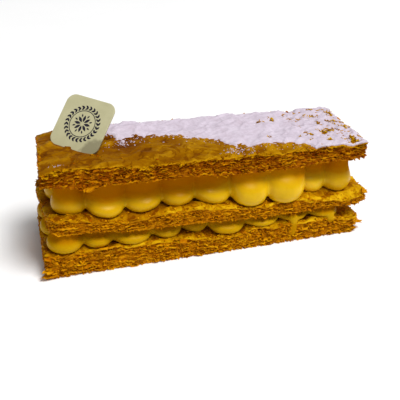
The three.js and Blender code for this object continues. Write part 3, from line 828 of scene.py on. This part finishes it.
def sugar_piece(material):
    slab, skin = SLABS["top"], Skin()
    right, back = slab["shift"] + slab["length"] / 2 + 0.2, WIDTH / 2
    x, y = np.meshgrid(np.arange(SUGAR_LEFT - 0.5, right, SUGAR_STEP),
                       np.arange(back + 0.1, -back - 0.2, -SUGAR_STEP))
    base = crust_height(slab, x, y)
    depth = sugar_depth(x, y)
    upper = skin.points(threes(x, y, base + np.maximum(depth, -0.3)), 0.5 + depth)
    lower = skin.points(threes(x, y, base - 0.45))
    stitch(skin, upper, lower, quads(sugar_cover(x, y) > -1.4).all(axis=-1))
    dress(skin.build("sugar_sheet"), "sugar", material, replaces=["icing_sugar"])


# ---- plaque

# The plaque is made in axes of its own, whose front face looks along -Y.
FACE = -PLAQUE["thickness"] / 2
BEVEL = 0.16
# How far the ornament stands proud of the face, and how far it goes in.
PROUD, ROOTED = 0.03, 0.1


def turned(degrees, axis):
    return Matrix.Rotation(math.radians(degrees), 4, axis)


def plaque_place():
    return (Matrix.Translation(PLAQUE["centre"]) @ turned(PLAQUE["turn"], "Z") @ turned(-PLAQUE["lean"], "X")
            @ turned(-PLAQUE["spin"], "Y"))


def plaque_part(skin, name, material, replaces=()):
    """Builds a piece made in the plaque's own axes, and moves it to the plaque's place."""
    thing, move = skin.build(name), plaque_place()
    move.translation *= MM
    thing.data.transform(move)
    dress(thing, "plaque", material, replaces=replaces)


def plaque_piece(material):
    skin, rows = Skin(), []
    for depth, shrink in ((FACE, 6), (FACE, BEVEL), (FACE + 0.05, 0.05), (FACE + BEVEL, 0),
                          (-FACE - BEVEL, 0), (-FACE, BEVEL)):
        half = PLAQUE["side"] / 2 - shrink
        x, z = rounded(half, half, max(PLAQUE["corner"] - shrink, 0.8), 12).T
        rows.append(threes(x, depth, z))
    skin.body(rows, (0, FACE, 0), (0, -FACE, 0))
    plaque_part(skin, "plaque_plate", material, replaces=["plaque"])


def petal(skin, radius, angle, turn, length, width):
    """A flat pointed petal on the plaque's face: where its middle is, and how far it is turned."""
    centre_x, centre_z = radius * math.cos(angle), radius * math.sin(angle)
    t = np.linspace(0, math.pi, 9)
    reach, half = length * (t / math.pi - 0.5), width / 2 * np.sin(t)
    px, pz = np.append(reach, reach[-2:0:-1]), np.append(-half, half[-2:0:-1])
    c, s = math.cos(turn), math.sin(turn)
    x, z = centre_x + px * c - pz * s, centre_z + px * s + pz * c
    grid = skin.points([threes(x, y, z) for y in (FACE - PROUD, FACE + ROOTED)])
    skin.wrap(grid)
    skin.cap(grid[0], (centre_x, FACE - PROUD, centre_z))


def ring_band(skin, radius, width):
    angle = np.linspace(0, 2 * math.pi, 72, endpoint=False)
    rows = []
    for side, y in ((-1, FACE + ROOTED), (-1, FACE - PROUD), (1, FACE - PROUD), (1, FACE + ROOTED)):
        r = radius + side * width / 2
        rows.append(threes(r * np.cos(angle), y, r * np.sin(angle)))
    skin.wrap(skin.points(rows))


def ornament_piece(material):
    """A plain rosette in a wreath of small leaves."""
    skin = Skin()
    for start, radius, length, width in ((0, 2.1, 2.8, 1.1), (0.5, 3.4, 1.4, 0.6)):
        for k in range(8):
            angle = (k + start) * math.pi / 4
            petal(skin, radius, angle, angle, length, width)
    ring_band(skin, 5.3, 0.3)
    for k in range(26):
        angle = k * 2 * math.pi / 26
        for side, radius in ((1, 6.2), (-1, 6.95)):
            petal(skin, radius, angle, angle + math.pi / 2 + side * 0.65, 1.7, 0.75)
    plaque_part(skin, "plaque_ornament", material)


# ---- materials


class Look:
    """A material, with short calls that add nodes to it. Sizes are in mm, and colours are linear RGB."""

    def __init__(self, name, roughness, specular, tint=(1, 1, 1)):
        self.material = bpy.data.materials.new(name)
        self.material.use_nodes = True
        self.tree = self.material.node_tree
        self.shader = self.tree.nodes["Principled BSDF"]
        self.feed(self.shader, {"Roughness": roughness, "Specular IOR Level": specular,
                                "Specular Tint": (*tint, 1)})
        self.place = self.new("ShaderNodeTexCoord").outputs["Object"]

    def feed(self, node, values):
        """Sets a node's inputs to plain values, or wires them to other nodes' outputs."""
        for key, value in values.items():
            if isinstance(value, bpy.types.NodeSocket):
                self.tree.links.new(value, node.inputs[key])
            else:
                node.inputs[key].default_value = value

    def new(self, kind, values=None, **settings):
        node = self.tree.nodes.new(kind)
        for key, setting in settings.items():
            setattr(node, key, setting)
        self.feed(node, values or {})
        return node

    def tone(self):
        return self.new("ShaderNodeAttribute", attribute_name="tone").outputs["Fac"]

    def noise(self, size, detail=3, roughness=0.55, stretch=None, distortion=0):
        """Noise from 0 to 1, with lumps of a size."""
        place = self.place
        if stretch:
            place = self.new("ShaderNodeMapping", {"Vector": place, "Scale": stretch}).outputs["Vector"]
        values = {"Vector": place, "Scale": 1 / (size * MM), "Detail": detail, "Roughness": roughness,
                  "Distortion": distortion}
        return self.new("ShaderNodeTexNoise", values).outputs["Fac"]

    def math(self, kind, *values, clamp=False):
        node = self.new("ShaderNodeMath", dict(enumerate(values)), operation=kind, use_clamp=clamp)
        return node.outputs["Value"]

    def total(self, start, *parts):
        """start and more, as (source, weight)."""
        for source, weight in parts:
            start = self.math("MULTIPLY_ADD", source, weight, start)
        return start

    def ramp(self, share, stops):
        """Colours at places from 0 to 1."""
        node = self.new("ShaderNodeValToRGB", {"Fac": share})
        band = node.color_ramp.elements
        while len(band) < len(stops):
            band.new(0.5)
        for element, (place, colour) in zip(band, stops):
            element.position = place
            element.color = (*colour, 1)
        return node.outputs["Color"]

    def finish(self, colour, height=None, strength=0, distance=0):
        """The material, with its colour, and bumps where it has a height."""
        self.feed(self.shader, {"Base Color": colour})
        if height is not None:
            bumps = {"Height": height, "Strength": strength, "Distance": distance * MM}
            self.feed(self.shader, {"Normal": self.new("ShaderNodeBump", bumps).outputs["Normal"]})
        return self.material


def leaf_material():
    """Torn, layered pastry: brown inside and golden at the rims, from tones that paint shade in the recesses
    and light on the rims.
    """
    look = Look("torn_pastry", 0.6, 0.07, (1, 0.6, 0.1))
    streaks, patches = look.noise(1, 4, stretch=(1, 1, 2.2)), look.noise(7, 2)
    share = look.total(look.tone(), (streaks, 0.6), (patches, 0.3), (1, -0.4))
    colour = look.ramp(share, [(0, (0.24, 0.044, 0.0001)), (0.3, (0.37, 0.105, 0.0003)),
                               (0.62, (0.53, 0.21, 0.001)), (1, (0.74, 0.37, 0.003))])
    return look.finish(colour, look.noise(0.5), 0.5, 0.12)


def crust_material(name, colours, roughness, gloss, patch, contrast):
    """Caramelised crust, from its darkest folds to its palest patches, some with crisp borders. patch is how
    large these are."""
    look = Look(name, roughness, gloss, (1, 0.65, 0.03))
    patches = look.noise(6, 4, stretch=(0.8, 1.3, 1), distortion=1.2)
    streaks = look.noise(1.6, 5, 0.65, distortion=0.8)
    crisp = look.ramp(look.noise(patch, 3, distortion=1.6), [(0.44, (0, 0, 0)), (0.47, (1, 1, 1))])
    share = look.total(look.tone(), (patches, 0.7), (streaks, 0.45), (crisp, contrast),
                       (1, -0.57 - contrast / 2))
    colour = look.ramp(share, list(zip((0, 0.35, 0.65, 1), colours)))
    return look.finish(colour, look.total(streaks, (look.noise(0.9), 0.6), (crisp, 0.5)), 0.6, 0.35)


def custard_material(name, gain, gloss):
    """Set pastry cream, yellow, and amber as painted shade where it stands back under a slab. gain is how
    light it is; below 1 it is painted shade over the whole layer.
    """
    look = Look(name, 0.3, gloss, (1, 0.88, 0.55))
    tone = look.tone()
    look.feed(look.shader, {
        "Specular IOR Level": look.math("MULTIPLY_ADD", tone, -0.5, gloss, clamp=True),
        "Subsurface Weight": 0.08, "Subsurface Radius": (1, 0.5, 0.05), "Subsurface Scale": 1.5 * MM})
    # The palest stop, reached where a dot's shade is below 0, is painted light.
    stops = [(0, (0.88, 0.55, 0.01)), (0.15, (0.68, 0.4, 0.002)), (0.38, (0.575, 0.305, 0.002)),
             (0.6, (0.5, 0.205, 0.001)), (1, (0.42, 0.138, 0.0003))]
    colour = look.ramp(look.total(tone, (look.noise(7, 2), 0.2), (look.noise(1.2), 0.06)),
                       [(place, tuple(gain * value for value in colour)) for place, colour in stops])
    return look.finish(colour, look.noise(0.7, 4), 0.14, 0.1)


def sugar_material():
    look = Look("icing_sugar", 0.9, 0.1)
    share = look.total(0, (look.noise(5), 0.5), (look.noise(1.2, 4), 0.5))
    colour = look.ramp(share, [(0.25, (0.49, 0.405, 0.465)), (0.5, (0.6, 0.52, 0.605)),
                               (0.75, (0.695, 0.62, 0.705))])
    return look.finish(colour, look.noise(0.4), 0.7, 0.15)


def plaque_material():
    """Pale chocolate, darker at its lower right corner."""
    look = Look("plaque", 0.45, 0.3)
    colour = look.ramp(look.noise(4), [(0.3, (0.48, 0.452, 0.265)), (0.7, (0.53, 0.5, 0.3))])
    corner = plaque_place() @ Vector((PLAQUE["side"] / 2, 0, -PLAQUE["side"] / 2)) * MM
    away = look.new("ShaderNodeVectorMath", {0: look.place, 1: corner}, operation="DISTANCE").outputs["Value"]
    corner_darkening = look.math("MULTIPLY", look.total(away, (look.noise(3), 0.005)), 1 / (CORNER_DARKENING_REACH * MM))
    corner_darkening = look.ramp(corner_darkening, [(0.68, (1, 1, 1)), (0.8, (0, 0, 0))])
    shades = {"Factor": corner_darkening, 6: colour, 7: (0.28, 0.255, 0.15, 1)}
    blend = look.new("ShaderNodeMix", shades, data_type="RGBA")
    return look.finish(blend.outputs[2], look.noise(0.8), 0.08, 0.1)


def mottled_material(name, roughness, specular, size, stops):
    look = Look(name, roughness, specular)
    return look.finish(look.ramp(look.noise(size, 2), stops))


# ---- stage, light and camera

EYE = (-75.3, -223.4, 150.7)
LOOK_TURN, LOOK_DOWN, LOOK_ROLL = -18.3, 30, 1.7
FOCAL_PIXELS, PICTURE_PIXELS = 651, 400
SENSOR = 36
# What the lamps look at, in metres.
LIT = (0, 0, 0.03)


def camera():
    data = bpy.data.cameras.new("camera")
    data.sensor_width = SENSOR
    data.lens = SENSOR * FOCAL_PIXELS / PICTURE_PIXELS
    data.clip_start = 0.01
    eye = new_object("camera", data)
    eye.matrix_world = (Matrix.Translation(Vector(EYE) * MM) @ turned(LOOK_TURN, "Z")
                        @ turned(90 - LOOK_DOWN, "X") @ turned(LOOK_ROLL, "Z"))
    bpy.context.scene.camera = eye


def area_light(name, place, size, power):
    """A lamp that looks at LIT. place and size (width, height) are in metres, power in watts."""
    data = bpy.data.lights.new(name, "AREA")
    data.shape = "RECTANGLE"
    data.size, data.size_y = size
    data.energy = power
    lamp = new_object(name, data)
    lamp.location = place
    lamp.rotation_euler = (Vector(LIT) - Vector(place)).to_track_quat("-Z", "Y").to_euler()


def stage():
    bpy.ops.mesh.primitive_plane_add(size=6)
    floor = bpy.context.object
    floor.name = "floor"
    shades = [(0.3, (0.95, 0.95, 0.95)), (0.7, (0.965, 0.965, 0.965))]
    floor.data.materials.append(mottled_material("pale_floor", 0.9, 0.1, 60, shades))
    scene = bpy.context.scene
    scene.view_settings.view_transform = "Standard"
    scene.world = bpy.data.worlds.new("studio")
    scene.world.use_nodes = True
    sky = scene.world.node_tree.nodes["Background"].inputs
    sky["Color"].default_value = (1, 1, 1, 1)
    sky["Strength"].default_value = 0.24
    area_light("key", (0.85, -1, 2.9), (1.3, 1.3), 106)
    area_light("front", (-0.3, -1.2, 0.35), (1, 0.5), 0.5)


# ---- the slice

camera()
stage()

LEAVES = leaf_material()
AMBER = [(0.1, 0.024, 0.0001), (0.19, 0.06, 0.0002), (0.27, 0.105, 0.0004), (0.44, 0.21, 0.003)]
BAKED = [(0.2, 0.055, 0.0002), (0.37, 0.15, 0.0006), (0.52, 0.265, 0.0012), (0.7, 0.41, 0.006)]
DARK = [(0.3, (0.008, 0.007, 0.016)), (0.8, (0.03, 0.026, 0.045))]
TOP_CRUST = crust_material("amber_crust", AMBER, 0.5, 0.03, 7, 0.28)
INNER_CRUST = crust_material("baked_crust", BAKED, 0.6, 0.05, 4.5, 0.36)
SUGAR = sugar_material()
INK = mottled_material("dark_icing", 0.5, 0.2, 0.6, DARK)

slab_piece("bottom", "pastry_bottom", 0.62, (LEAVES, INNER_CRUST))
slab_piece("middle", "pastry_middle", 0.62, (LEAVES, INNER_CRUST))
slab_piece("top", "pastry_top", 0.45, (LEAVES, TOP_CRUST))

torn_flakes(LEAVES)
rim_flakes(INNER_CRUST)
crag_flakes(INNER_CRUST)
scatter("pastry_crumbs", "pastry", LEAVES, 15, crumb_places, 0.16, 0.45)

# The lower layer's darker copy of the custard is painted shade under the middle slab.
custard_piece("lower", "custard_lower", custard_material("shaded_custard", 0.86, 0.15), smears)
custard_piece("upper", "custard_upper", custard_material("custard", 1, 0.24))

sugar_piece(SUGAR)
scatter("sugar_specks", "sugar", SUGAR, 16, speck_places, 0.1, 0.28)
plaque_piece(plaque_material())
ornament_piece(INK)
